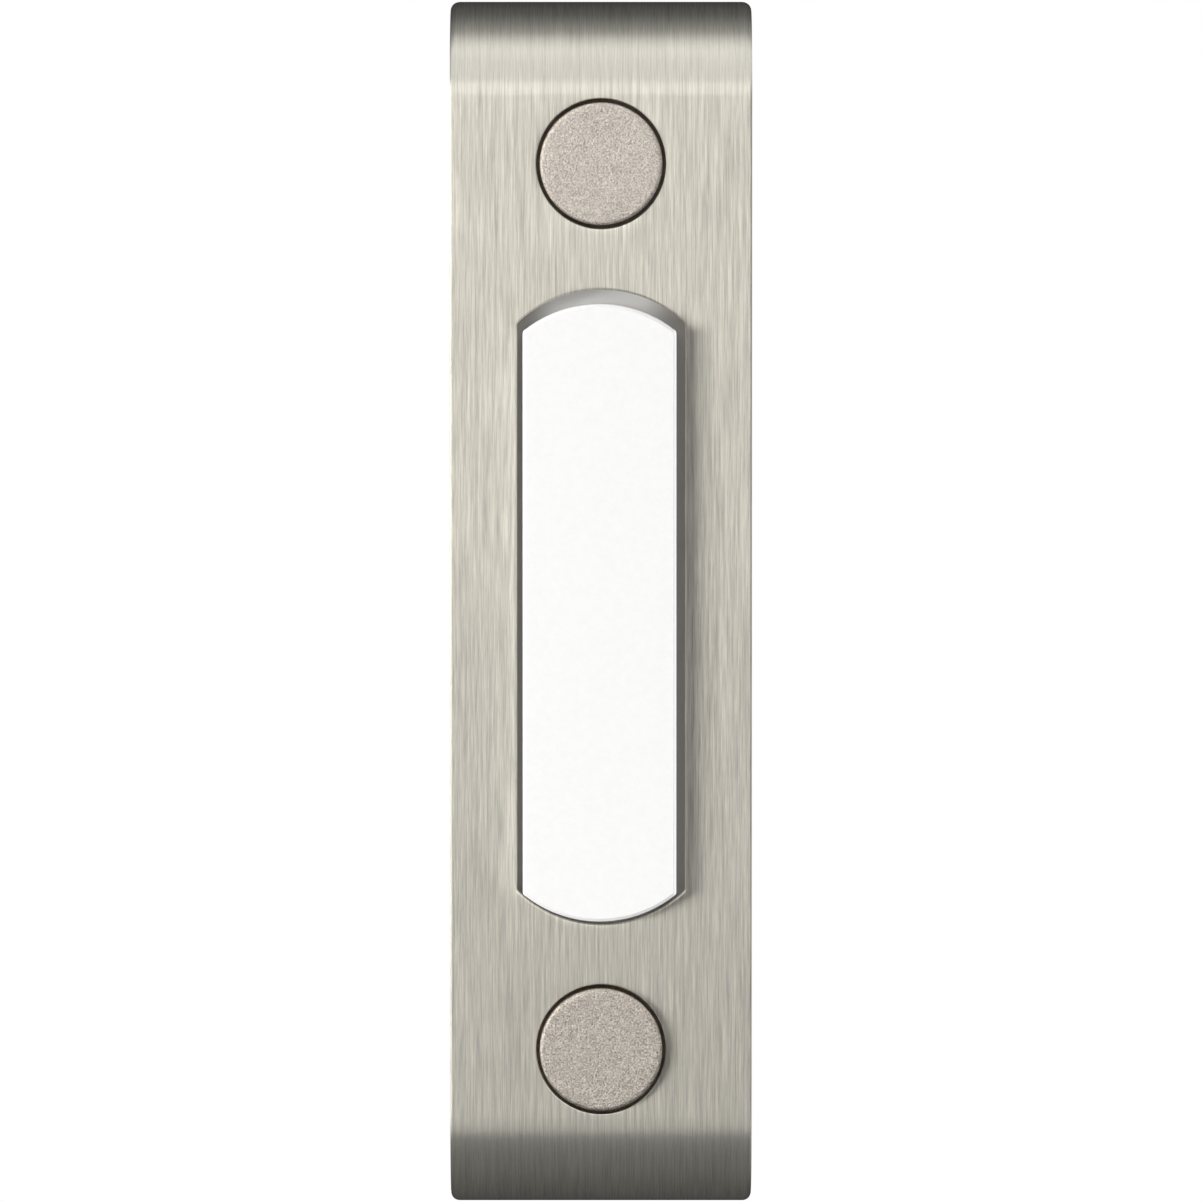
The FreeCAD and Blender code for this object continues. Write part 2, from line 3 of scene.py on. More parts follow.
import bmesh
import bpy
import numpy as np
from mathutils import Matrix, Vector


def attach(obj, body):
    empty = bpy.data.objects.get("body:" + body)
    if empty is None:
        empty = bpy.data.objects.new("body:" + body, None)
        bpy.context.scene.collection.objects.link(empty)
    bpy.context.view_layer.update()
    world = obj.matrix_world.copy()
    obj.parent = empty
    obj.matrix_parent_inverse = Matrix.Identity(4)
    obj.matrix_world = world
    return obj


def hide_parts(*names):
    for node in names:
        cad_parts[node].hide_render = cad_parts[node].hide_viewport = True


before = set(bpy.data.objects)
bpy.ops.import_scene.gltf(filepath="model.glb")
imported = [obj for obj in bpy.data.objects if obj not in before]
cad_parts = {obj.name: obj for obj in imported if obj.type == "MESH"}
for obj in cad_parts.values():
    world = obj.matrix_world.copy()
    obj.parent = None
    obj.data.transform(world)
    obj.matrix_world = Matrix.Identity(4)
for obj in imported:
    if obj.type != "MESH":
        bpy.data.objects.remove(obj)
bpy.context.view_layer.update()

# Base. A black tray moulded in one piece, with the wire pocket in its back. Its faces have
# the fine spark-eroded texture of the mould and a few paler rubbed patches.
mm = 0.001


def feed(tree, node, sources):
    """Gives each named or numbered input of a node its source: an output is linked to it, and
    anything else becomes its value."""
    for socket, source in sources.items():
        if isinstance(source, bpy.types.NodeSocket):
            tree.links.new(source, node.inputs[socket])
        else:
            node.inputs[socket].default_value = source


def add_node(tree, kind, sources=None, **settings):
    """A new node with these settings, its inputs fed from these sources."""
    node = tree.nodes.new(kind)
    for setting, value in settings.items():
        setattr(node, setting, value)
    feed(tree, node, sources or {})
    return node


def mixed_colour(tree, share, first, second):
    """The first colour where the share is none, the second where it is one, and their blend between.
    A Mix node's colour sockets are numbered, since they share their names with others."""
    mix_share, mix_first, mix_second, mix_result = 0, 6, 7, 2
    sources = {mix_share: share, mix_first: first, mix_second: second}
    return add_node(tree, "ShaderNodeMix", sources, data_type="RGBA").outputs[mix_result]


def graded(tree, source, low, high, start=0.0, end=1.0, curve="LINEAR"):
    """Goes from start to end while the source goes from low to high, and stays level beyond."""
    limits = {"Value": source, "From Min": low, "From Max": high, "To Min": start, "To Max": end}
    return add_node(tree, "ShaderNodeMapRange", limits, interpolation_type=curve).outputs["Result"]


def grain_group(name):
    """A node group for any worked surface. It multiplies the coordinates by Stretch, takes a fine and
    a coarse cloud of noise from them, and puts out their blend as Tone and the fine cloud as Height."""
    group = bpy.data.node_groups.new(name, "ShaderNodeTree")
    for socket_name, way, kind in (
            ("Coordinates", "INPUT", "NodeSocketVector"), ("Stretch", "INPUT", "NodeSocketVector"),
            ("Coarse share", "INPUT", "NodeSocketFloat"),
            ("Tone", "OUTPUT", "NodeSocketFloat"), ("Height", "OUTPUT", "NodeSocketFloat")):
        group.interface.new_socket(name=socket_name, in_out=way, socket_type=kind)
    given = add_node(group, "NodeGroupInput").outputs
    stretched = add_node(
        group, "ShaderNodeVectorMath", {0: given["Coordinates"], 1: given["Stretch"]}, operation="MULTIPLY")
    fine, coarse = [
        add_node(group, "ShaderNodeTexNoise", {"Vector": stretched.outputs["Vector"], **cloud}).outputs["Fac"]
        for cloud in ({"Scale": 1.0, "Detail": 4.0, "Roughness": 0.7},
                      {"Scale": 0.35, "Detail": 2.0, "Roughness": 0.5})]
    blend = add_node(group, "ShaderNodeMix", {"Factor": given["Coarse share"], "A": fine, "B": coarse})
    cloud_low, cloud_high = 0.36, 0.64
    tone = graded(group, blend.outputs["Result"], cloud_low, cloud_high)
    add_node(group, "NodeGroupOutput", {"Tone": tone, "Height": fine})
    return group


surface_grain = grain_group("surface_grain")


def worked_surface(name, dark, pale, rough, stretch, coarse, bump, constants, coordinates="Object"):
    """A Principled material. With the grain's Tone its colour goes from dark to pale and its roughness
    from one value to the other. Its bump, given as strength and depth, follows the grain's Height."""
    material = bpy.data.materials.new(name)
    material.use_nodes = True
    tree = material.node_tree
    place = add_node(tree, "ShaderNodeTexCoord").outputs[coordinates]
    grain = add_node(
        tree, "ShaderNodeGroup", {"Coordinates": place, "Stretch": stretch, "Coarse share": coarse},
        node_tree=surface_grain).outputs
    strength, depth = bump
    relief = add_node(
        tree, "ShaderNodeBump", {"Strength": strength, "Distance": depth * mm, "Height": grain["Height"]})
    feed(tree, tree.nodes["Principled BSDF"], {
        **constants,
        "Base Color": mixed_colour(tree, grain["Tone"], (*dark, 1.0), (*pale, 1.0)),
        "Roughness": graded(tree, grain["Tone"], 0.0, 1.0, *rough),
        "Normal": relief.outputs["Normal"]})
    return material


def dress(material, *names):
    """Gives the material to each of the named CAD pieces."""
    for name in names:
        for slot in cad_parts[name].material_slots:
            slot.material = material


dress(worked_surface(
    "base_black_nylon", dark=(0.016, 0.016, 0.017), pale=(0.034, 0.033, 0.032), rough=(0.46, 0.62),
    stretch=(2600, 2600, 2600), coarse=0.35, bump=(0.35, 0.03), constants={"IOR": 1.5}), "base")

# Circuit board and its lamps. Green solder resist over glass fibre cloth, three flat lamps in
# white bodies with yellow phosphor lenses, a chip resistor and a small black rectifier.
dress(worked_surface(
    "board_solder_resist", dark=(0.006, 0.085, 0.032), pale=(0.012, 0.16, 0.055), rough=(0.24, 0.36),
    stretch=(900, 900, 5200), coarse=0.5, bump=(0.12, 0.02),
    constants={"IOR": 1.55, "Coat Weight": 0.3}), "circuit_board")
dress(worked_surface(
    "lamp_phosphor", dark=(0.82, 0.66, 0.20), pale=(0.93, 0.86, 0.55), rough=(0.30, 0.45),
    stretch=(1500, 1500, 1500), coarse=0.6, bump=(0.15, 0.02),
    constants={"IOR": 1.5, "Emission Color": (1.0, 0.93, 0.75, 1.0), "Emission Strength": 0.35}),
    "led_top", "led_middle", "led_bottom")
dress(worked_surface(
    "chip_resin", dark=(0.012, 0.012, 0.013), pale=(0.035, 0.034, 0.034), rough=(0.38, 0.58),
    stretch=(4200, 4200, 4200), coarse=0.3, bump=(0.3, 0.02), constants={"IOR": 1.52}),
    "resistor", "rectifier")

# Small screws and wire clamps. Mild steel with a zinc coat: the clear passivation has a faint
# blue cast, and the coat pools a little between the grains of the steel.
dress(worked_surface(
    "zinc_coat", dark=(0.46, 0.48, 0.50), pale=(0.66, 0.67, 0.67), rough=(0.26, 0.42),
    stretch=(3200, 3200, 3200), coarse=0.45, bump=(0.2, 0.015), constants={"Metallic": 1.0}),
    "board_screw_top", "board_screw_bottom", "terminal_screw_left", "terminal_screw_right",
    "wire_clamp_left", "wire_clamp_right", "base_screw_top", "base_screw_bottom")

# Contacts. Two fixed strips on the base and the springy bridge on the back of the push bar,
# blanked from rolled brass, so that the rolling marks run along them.
dress(worked_surface(
    "rolled_brass", dark=(0.62, 0.42, 0.15), pale=(0.83, 0.63, 0.30), rough=(0.20, 0.36),
    stretch=(500, 7000, 7000), coarse=0.4, bump=(0.25, 0.01), constants={"Metallic": 1.0}),
    "contact_strip_left", "contact_strip_right", "contact_bridge")

# Return springs. Coils of bright drawn spring steel wire round the push bar's guide pins. The
# wire keeps the fine marks of drawing.
dress(worked_surface(
    "drawn_steel", dark=(0.40, 0.40, 0.41), pale=(0.62, 0.62, 0.61), rough=(0.18, 0.32),
    stretch=(5200, 5200, 5200), coarse=0.3, bump=(0.2, 0.01), constants={"Metallic": 1.0}),
    "return_spring_top", "return_spring_bottom")

# Diffuser. A thin sheet of milky plastic, clipped inside the push bar, that spreads the light of
# the three lamps behind it.
dress(worked_surface(
    "diffuser_milk", dark=(0.80, 0.81, 0.82), pale=(0.90, 0.90, 0.90), rough=(0.40, 0.52),
    stretch=(1800, 1800, 1800), coarse=0.5, bump=(0.1, 0.01), constants={"IOR": 1.49}), "diffuser")

# Push bar. Moulded in milky white plastic and lit from inside, so its front glows. The glow is held to the
# part that stands proud of the cover and is strongest along the side edges: partly the lens's own light,
# partly a painted highlight that keeps the face and its rounded edges white. Its surface is a fine satin.
# Deep in the gap at both sides the flange is
# painted grey: painted shade for the narrow gap behind the cover.
bar_middle = -0.12
bar_half_width = 6.45
cover_face_depth = 15.0
glow_full_depth = 15.8
glow_rim_start = 0.3
glow_rim_end = 0.1
glow_middle_share = 0.24
# Painted shade: deep in the gap towards the sides the flange takes this grey in place of the bar's white.
shade_depth = 13.4
unshaded_depth = 13.85
unshaded_reach = 3.45
painted_shade_colour = (0.42, 0.405, 0.39, 1.0)


def calculate(tree, operation, *sources):
    """The result of one operation on outputs or plain numbers."""
    return add_node(tree, "ShaderNodeMath", dict(enumerate(sources)), operation=operation).outputs["Value"]


bar_plastic = worked_surface(
    "milky_plastic", dark=(0.78, 0.78, 0.78), pale=(0.81, 0.81, 0.81), rough=(0.34, 0.42),
    stretch=(3600, 3600, 3600), coarse=0.4, bump=(0.08, 0.01),
    constants={"IOR": 1.49, "Emission Strength": 0.35})
bar_tree = bar_plastic.node_tree
bar_shader = bar_tree.nodes["Principled BSDF"]
bar_place = add_node(bar_tree, "ShaderNodeTexCoord").outputs["Object"]
bar_split = add_node(bar_tree, "ShaderNodeSeparateXYZ", {"Vector": bar_place}).outputs
bar_offset = calculate(bar_tree, "SUBTRACT", bar_split["X"], bar_middle * mm)
bar_reach = calculate(bar_tree, "ABSOLUTE", bar_offset)
# Painted highlight and glow: emission only on the proud front, rising towards the side edges, partly the
# lens's own light.
glow_front = graded(
    bar_tree, bar_split["Y"], -cover_face_depth * mm, -glow_full_depth * mm, curve="SMOOTHSTEP")
edge_glow_and_highlight = graded(
    bar_tree, bar_reach, (bar_half_width - glow_rim_start) * mm, (bar_half_width - glow_rim_end) * mm,
    glow_middle_share, 1.0, "SMOOTHSTEP")
# Painted shade mask: grey deep behind the cover and towards the sides, the bar's own white elsewhere.
above_flange = graded(bar_tree, bar_split["Y"], -shade_depth * mm, -unshaded_depth * mm, curve="SMOOTHSTEP")
off_the_sides = graded(bar_tree, bar_reach, bar_half_width * mm, unshaded_reach * mm, curve="SMOOTHSTEP")
bar_unshaded = calculate(bar_tree, "MAXIMUM", above_flange, off_the_sides)
bar_white = bar_shader.inputs["Base Color"].links[0].from_socket
feed(bar_tree, bar_shader, {
    "Emission Color": calculate(bar_tree, "MULTIPLY", glow_front, edge_glow_and_highlight),
    "Base Color": mixed_colour(bar_tree, bar_unshaded, painted_shade_colour, bar_white)})
dress(bar_plastic, "push_bar")

# Cover. Die-cast in one piece, bent back to the wall at both ends, brushed lengthwise and
# plated in satin nickel. Window and screw recesses are cut through the brushed face, and two
# posts inside take the screws of the base.
half_width = 12.7
half_height = 50.8
wall = 1.6
bend_radius = 8.0
edge_round = 0.18
corner_round = 0.72
window_half_width = 7.06
window_crown = 26.7
window_arch_radius = 10.17
window_corner_round = 0.35
window_edge_round = 0.2
recess_height = 37.275
recess_radius = 5.46
recess_edge_round = 0.1
ledge_front = 8.0
ledge_back = 6.5
mount_hole_radius = 2.1
tube_radius = 6.5
post_height = 45.6
post_radius = 2.3
post_hole_radius = 1.1
post_back = 2.0
post_hole_end = 7.4
bend_depth = cover_face_depth - bend_radius
bend_height = half_height - bend_radius
zone_border = 28.8
outer_border = 43.2
inner_border = 44.3
side_steps = 24
end_steps = 24
window_side_steps = 48
zone_points = 7
ray_points = 6
bend_points = 25
back_points = 5
edge_points = 8
opening_edge_points = 6
corner_points = 7


def sheet_depth(height, inset):
    """Depth of the bent sheet at a height: the face as far as the bends, and round the bend's
    circle from there, both less the inset."""
    past = np.clip(np.abs(height) - bend_height, 0, None)
    return bend_depth + np.sqrt((bend_radius - inset) ** 2 - past ** 2)


def end_line(inset, border):
    """The upper end of the sheet seen from the side, as rows of depth, height, the outward direction
    in both, and the length along the sheet: a quarter circle from the border on, then straight back."""
    radius = bend_radius - inset
    turn = np.linspace(np.arcsin((border - bend_height) / radius), np.pi / 2, bend_points)
    back = np.linspace(bend_depth, 0, back_points)[1:]
    level = np.ones(len(back))
    depth = np.concatenate([bend_depth + radius * np.cos(turn), back])
    height = np.concatenate([bend_height + radius * np.sin(turn), (bend_height + radius) * level])
    out = np.concatenate([np.cos(turn), 0 * level])
    up = np.concatenate([np.sin(turn), level])
    length = np.concatenate([bend_height + bend_radius * turn,
                             bend_height + bend_radius * np.pi / 2 + bend_depth - back])
    return np.stack([depth, height, out, up, length], 1)


def end_rounding(rounding):
    """The round of the side edges on each row of an end: as given at the border, then a smooth rise
    over the bend to the corner's. The inner sheet has no round anywhere."""
    share = np.linspace(0, 1, bend_points)
    share = np.concatenate([share ** 2 * (3 - 2 * share), np.ones(back_points - 1)])
    return rounding + (corner_round - rounding if rounding else 0.0) * share


def flat_line(inset, border):
    """The flat part between the two borders, in the same rows as an end: a level face whose last
    points at both borders already lean with the bend."""
    height = np.concatenate([
        np.linspace(-border, -zone_border, side_steps + 1)[:-1],
        np.linspace(-zone_border, zone_border, window_side_steps + 1)[:-1],
        np.linspace(zone_border, border, side_steps + 1)])
    lean = np.clip(np.abs(height) - bend_height, 0, None) / (bend_radius - inset) * np.sign(height)
    depth = sheet_depth(height, inset)
    return np.stack([depth, height, np.sqrt(1 - lean ** 2), lean, height], 1)


def arched_loop(half, crown, radius, corner):
    """The outline of an opening with straight sides and arched ends, as points and outward directions.
    A corner's circle touches the side and the arch, so its centre lies where both are a corner away."""
    centre = crown - radius
    corner_x = half - corner
    corner_z = centre + math.sqrt((radius - corner) ** 2 - corner_x ** 2)
    meet = math.atan2(corner_z - centre, corner_x)
    turn = np.linspace(0, meet, corner_points)
    corner_way = np.stack([np.cos(turn), np.sin(turn)], 1)
    high = np.array([corner_x, corner_z]) + corner * corner_way
    low = (high * (1, -1))[::-1]
    straight = np.linspace(-corner_z, corner_z, window_side_steps + 3 - 2 * corner_points)[1:-1]
    side = np.concatenate([low, np.stack([np.full(len(straight), half), straight], 1), high])
    side_way = np.concatenate([
        (corner_way * (1, -1))[::-1], np.tile((1.0, 0.0), (len(straight), 1)), corner_way])
    sweep = np.linspace(meet, np.pi - meet, end_steps + 1)
    arch_way = np.stack([np.cos(sweep), np.sin(sweep)], 1)
    arch = np.array([0, centre]) + radius * arch_way
    points = np.concatenate([side[:-1], arch[:-1], -side[:-1], -arch[:-1]])
    ways = np.concatenate([side_way[:-1], arch_way[:-1], -side_way[:-1], -arch_way[:-1]])
    return points, ways


def round_loop():
    """A circle of radius one, from one diagonal to the next along each of the frame's four edges."""
    turn = np.linspace(-np.pi / 4, 7 * np.pi / 4, 2 * side_steps + 2 * end_steps + 1)[:-1]
    return np.stack([np.cos(turn), np.sin(turn)], 1)


def frame_loop(half, low, high, steps):
    """A rectangle, corner to corner, with as many points on each edge as the loop inside it."""
    rise = np.linspace(low, high, steps + 1)[:-1]
    run = np.linspace(half, -half, end_steps + 1)[:-1]
    fall = np.linspace(high, low, steps + 1)[:-1]
    return np.concatenate([
        np.stack([np.full(steps, half), rise], 1), np.stack([run, np.full(end_steps, high)], 1),
        np.stack([np.full(steps, -half), fall], 1), np.stack([-run, np.full(end_steps, low)], 1)])


def solid_grid(x, depth, height, spread, closed=False):
    """A grid of points from three arrays, with the sheet's own coordinates for the grain."""
    x, depth, height = np.broadcast_arrays(x, depth, height)
    points = np.stack([x, -depth, height], -1) * mm
    return points, np.broadcast_to(spread, x.shape + (2,)) * mm, closed


def zone(inner, outer, inset):
    """The part of the sheet between an opening's loop and the frame round it, drawn out evenly."""
    share = np.linspace(0, 1, zone_points)[:, None, None]
    flat = inner + (outer - inner) * share
    return solid_grid(flat[..., 0], sheet_depth(flat[..., 1], inset), flat[..., 1], flat, True)


def side_walls(inset, rounding, border):
    """The two flat sides: rays from the bend's centre to the rounded edge at each end, and columns
    from the edge straight back to the wall between them."""
    half = half_width - inset
    ray = np.linspace(0, 1, ray_points)[:, None]
    back = np.linspace(bend_depth, 0, back_points)
    end = end_line(inset, border)
    end_out = end[:, :2] - end[:, 2:4] * end_rounding(rounding)[:, None]
    root = np.stack([np.minimum(end_out[:, 0], bend_depth), np.full(len(end), bend_height)], 1)
    flat = flat_line(inset, border)
    flat_out = flat[:, :2] - flat[:, 2:4] * rounding
    level = np.clip(flat[:, 1], -bend_height, bend_height)
    ends = [(root[:, 0] + (end_out[:, 0] - root[:, 0]) * ray,
             (root[:, 1] + (end_out[:, 1] - root[:, 1]) * ray) * pole) for pole in (1, -1)]
    middle = (bend_depth + (flat_out[:, 0] - bend_depth) * ray, level + (flat_out[:, 1] - level) * ray)
    lower = np.broadcast_arrays(back[:, None], level)
    grids = []
    for side in (1, -1):
        for depth, height in (*ends, middle, lower):
            spread = np.stack([side * (half + cover_face_depth - depth), height], -1)
            grids.append(solid_grid(side * half, depth, height, spread))
    return grids


def end_sheets(inset, rounding, border):
    """The sheet over both bends and down to the wall, as wide as the rounded edges leave it."""
    reach = half_width - inset - end_rounding(rounding)
    across = np.linspace(-1, 1, end_steps + 1)[:, None] * reach
    end = end_line(inset, border)
    grids = []
    for pole in (1, -1):
        spread = np.stack(np.broadcast_arrays(across, end[:, 4] * pole), -1)
        grids.append(solid_grid(across, end[:, 0], end[:, 1] * pole, spread))
    return grids


def edge_rounds():
    """The rounded long edges: a quarter circle carried along the whole side line."""
    end = end_line(0, outer_border)
    low = end[:0:-1] * (1, -1, 1, -1, -1)
    flat = flat_line(0, outer_border)
    line = np.concatenate([low, flat, end[1:]])
    growing = end_rounding(edge_round)
    rounding = np.concatenate([growing[:0:-1], np.full(len(flat), edge_round), growing[1:]])
    turn = np.linspace(0, np.pi / 2, edge_points)[:, None]
    inward = rounding * (1 - np.cos(turn))
    x = half_width - rounding + rounding * np.sin(turn)
    depth = line[:, 0] - line[:, 2] * inward
    height = line[:, 1] - line[:, 3] * inward
    grids = []
    for side in (1, -1):
        run = side * (half_width - rounding + rounding * turn)
        spread = np.stack(np.broadcast_arrays(run, line[:, 4]), -1)
        grids.append(solid_grid(side * x, depth, height, spread))
    return grids


def back_rim():
    """The rim that sits on the wall: a loop round the outside joined to a loop round the inside. A
    quarter of each runs up the side, round the corner and across the end, and is flipped for the rest."""
    ray = np.linspace(0, 1, ray_points)
    turn = np.linspace(np.pi / 2, 0, edge_points)
    lines = np.stack([flat_line(0, outer_border)[:, 1], flat_line(wall, inner_border)[:, 1]])
    level, inner_level = np.clip(lines, -bend_height, bend_height)[:, lines.shape[1] // 2:]
    across = np.linspace(1, -1, end_steps + 1)
    reach = half_width - corner_round
    inner_reach = half_width - wall
    outer = np.concatenate([
        np.stack([np.full(len(level), half_width), level], 1),
        np.stack([np.full(ray_points, half_width), bend_height + (bend_radius - corner_round) * ray], 1),
        np.stack([reach + corner_round * np.sin(turn),
                  half_height - corner_round * (1 - np.cos(turn))], 1),
        np.stack([reach * across, np.full(end_steps + 1, half_height)], 1)])
    inner = np.concatenate([
        np.stack([np.full(len(level), inner_reach), inner_level], 1),
        np.stack([np.full(ray_points, inner_reach), bend_height + (bend_radius - wall) * ray], 1),
        np.tile((inner_reach, half_height - wall), (len(turn), 1)),
        np.stack([inner_reach * across, np.full(end_steps + 1, half_height - wall)], 1)])
    both = np.stack([outer, inner])
    side = both[:, :len(level) + ray_points + len(turn)]
    return [
        solid_grid(loops[..., 0] * flip_x, 0.0, loops[..., 1] * flip_z, loops)
        for loops, flip_x, flip_z in ((both, 1, 1), (both, -1, -1), (side, -1, 1), (side, 1, -1))]


def opening_rows(points, ways, rounding, rows):
    """The wall of an opening: a quarter circle over its front edge, then one row for each offset
    outwards, at the depth given with it, or on the sheet at the inset given in its place."""
    turn = np.linspace(0, np.pi / 2, opening_edge_points)[:, None]
    offset = rounding * (1 - np.sin(turn))
    front = sheet_depth((points + ways * rounding)[:, 1], 0)
    depth = front - rounding * (1 - np.cos(turn))
    over_edge = points + ways * offset[..., None]
    line = [np.stack([over_edge[-1, :, 0], depth[-1], over_edge[-1, :, 1]], -1)]
    for offset, level, inset in rows:
        ring = points + ways * offset
        level = sheet_depth(ring[:, 1], inset) if level is None else np.full(len(ring), level)
        line.append(np.stack([ring[:, 0], level, ring[:, 1]], -1))
    line = np.stack(line)
    return [solid_grid(over_edge[..., 0], depth, over_edge[..., 1], over_edge, True),
            solid_grid(line[..., 0], line[..., 1], line[..., 2], line[..., :2], True)]


def post(circle, pole):
    """A round post with a blind hole in its back, from the middle of the hole's end out to the middle
    of the post's front, which lies within the sheet."""
    radii = np.array([0, post_hole_radius, post_hole_radius, post_radius, post_radius, 0])[:, None]
    around = np.array([0, post_height * pole]) + circle * radii[..., None]
    levels = np.array([post_hole_end, post_hole_end, post_back, post_back, np.nan, np.nan])[:, None]
    depth = np.where(np.isnan(levels), sheet_depth(around[..., 1], wall / 2), levels)
    return solid_grid(around[..., 0], depth, around[..., 1], around, True)


def cover_grids():
    """All the cover's grids: the outer and the inner side of its sheet, the edges and the rim that
    join them, and the walls of the openings with the posts."""
    window, window_ways = arched_loop(
        window_half_width, window_crown, window_arch_radius, window_corner_round)
    circle = round_loop()
    grids = []
    for inset, rounding, border, window_gap, radius in (
            (0.0, edge_round, outer_border, window_edge_round, recess_radius + recess_edge_round),
            (wall, 0.0, inner_border, 0.0, tube_radius)):
        half = half_width - inset - rounding
        window_frame = frame_loop(half, -zone_border, zone_border, window_side_steps)
        grids.append(zone(window + window_ways * window_gap, window_frame, inset))
        for pole in (1, -1):
            ring = circle * radius + (0, recess_height * pole)
            low, high = sorted((zone_border * pole, border * pole))
            grids.append(zone(ring, frame_loop(half, low, high, side_steps), inset))
        grids += end_sheets(inset, rounding, border)
        grids += side_walls(inset, rounding, border)
    grids += edge_rounds()
    grids += back_rim()
    grids += opening_rows(
        window, window_ways, window_edge_round, [(0.0, cover_face_depth - wall, None)])
    hole_offset = mount_hole_radius - recess_radius
    tube_offset = tube_radius - recess_radius
    for pole in (1, -1):
        ring = circle * recess_radius + (0, recess_height * pole)
        grids += opening_rows(ring, circle, recess_edge_round, [
            (0.0, ledge_front, None), (hole_offset, ledge_front, None), (hole_offset, ledge_back, None),
            (tube_offset, ledge_back, None), (tube_offset, None, wall)])
        grids.append(post(circle, pole))
    return grids


def build_piece(name, body, grids, node_names, material):
    """One mesh from grids of points: neighbours are joined into faces, seams are merged, normals turn
    outwards, and edges that turn by more than the sharp angle stay sharp."""
    merge_distance, sliver, sharp_angle = 0.002 * mm, 0.0005 * mm, math.radians(35)
    points, spread, faces = [], [], []
    start = 0
    for grid, uv, closed in grids:
        rows, columns = grid.shape[:2]
        index = np.arange(rows * columns).reshape(rows, columns) + start
        if closed:
            index = np.concatenate([index, index[:, :1]], 1)
        quads = np.stack([index[:-1, :-1], index[:-1, 1:], index[1:, 1:], index[1:, :-1]], -1)
        faces.append(quads.reshape(-1, 4))
        points.append(grid.reshape(-1, 3))
        spread.append(uv.reshape(-1, 2))
        start += rows * columns
    faces = np.concatenate(faces)
    mesh = bpy.data.meshes.new(name)
    mesh.from_pydata(np.concatenate(points), [], faces)
    layer = mesh.uv_layers.new(name="UVMap")
    layer.data.foreach_set("uv", np.concatenate(spread)[faces.ravel()].astype(np.float32).ravel())
    work = bmesh.new()
    work.from_mesh(mesh)
    bmesh.ops.remove_doubles(work, verts=work.verts, dist=merge_distance)
    bmesh.ops.dissolve_degenerate(work, edges=work.edges, dist=sliver)
    bmesh.ops.recalc_face_normals(work, faces=work.faces)
    work.to_mesh(mesh)
    work.free()
    mesh.shade_smooth()
    mesh.set_sharp_from_angle(angle=sharp_angle)
    mesh.materials.append(material)
    piece = bpy.data.objects.new(name, mesh)
    bpy.context.scene.collection.objects.link(piece)
    weighted = piece.modifiers.new("even_shading", "WEIGHTED_NORMAL")
    weighted.keep_sharp = True
    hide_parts(*node_names)
    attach(piece, body)
    return piece


nickel = worked_surface(
    "brushed_nickel", dark=(0.57, 0.552, 0.490), pale=(0.99, 0.956, 0.853), rough=(0.37, 0.49),
    stretch=(8600, 200, 1), coarse=0.3, bump=(0.4, 0.01),
    constants={"Metallic": 1.0, "Anisotropic": 1.0}, coordinates="UV")
grain_way = add_node(nickel.node_tree, "ShaderNodeTangent", direction_type="UV_MAP")
feed(nickel.node_tree, nickel.node_tree.nodes["Principled BSDF"], {"Tangent": grain_way.outputs["Tangent"]})
cover = build_piece("cover_brushed", "housing", cover_grids(), ["cover"], nickel)

# Cap rings. Rubber rings round the stems of the screw caps, which grip the wall of each recess.
# They are coloured a brownish grey, paler than plain black rubber.
dress(worked_surface(
    "ring_rubber", dark=(0.15, 0.12, 0.10), pale=(0.30, 0.245, 0.21), rough=(0.62, 0.82),
    stretch=(2400, 2400, 2400), coarse=0.5, bump=(0.3, 0.02), constants={"IOR": 1.52}),
    "cap_ring_top", "cap_ring_bottom")

# Screw caps. Turned discs with a rounded edge, bead-blasted before the same nickel plating, so
# that they look duller and more speckled than the brushed face. A stem holds the rubber ring.
# The upper cap is pushed in further than the lower one.
cap_radius = 5.16
cap_edge_round = 0.3
cap_skirt_back = 13.4
cap_stem_radius = 4.1
cap_end = 11.1
cap_face_rings = (0.0, 1.5, 3.2, 4.4)
cap_turn_steps = 120


def turned_grid(profile, height):
    """A profile of radius and depth pairs carried round a line out of the wall at this height."""
    turn = np.linspace(0, 2 * np.pi, cap_turn_steps + 1)[:-1]
    radius, depth = profile.T[..., None]
    x = radius * np.cos(turn)
    rise = radius * np.sin(turn)
    return solid_grid(x, depth, height + rise, np.stack([x, rise], -1), True)


def cap_profile(front):
    """From the middle of the face over the rounded edge, down the rim and in to the stem."""
    turn = np.linspace(0, np.pi / 2, edge_points)
    face = [(radius, front) for radius in cap_face_rings]
    edge = np.stack([cap_radius - cap_edge_round * (1 - np.sin(turn)),
                     front - cap_edge_round * (1 - np.cos(turn))], 1)
    rim = [(cap_radius, cap_skirt_back), (cap_stem_radius, cap_skirt_back),
           (cap_stem_radius, cap_end), (0.0, cap_end)]
    return np.concatenate([face, edge, rim])


# The lower cap's dark speckle colour is darker than the upper cap's: partly a stronger speckle, partly
# painted shade for the dimmer light at the lower end.
for cap_name, cap_height, cap_front, cap_dark, cap_pale in (
        ("top", recess_height, 15.35, (0.39, 0.355, 0.319), (0.99, 0.90, 0.81)),
        ("bottom", -recess_height, 15.8, (0.22, 0.202, 0.179), (0.99, 0.90, 0.80))):
    blasted = worked_surface(
        "blasted_nickel_" + cap_name, dark=cap_dark, pale=cap_pale, rough=(0.28, 0.42),
        stretch=(6200, 6200, 6200), coarse=0.15, bump=(1.0, 0.09), constants={"Metallic": 1.0})
    cap = build_piece(
        "cap_blasted_" + cap_name, "housing", [turned_grid(cap_profile(cap_front), cap_height)],
        ["screw_cap_" + cap_name], blasted)

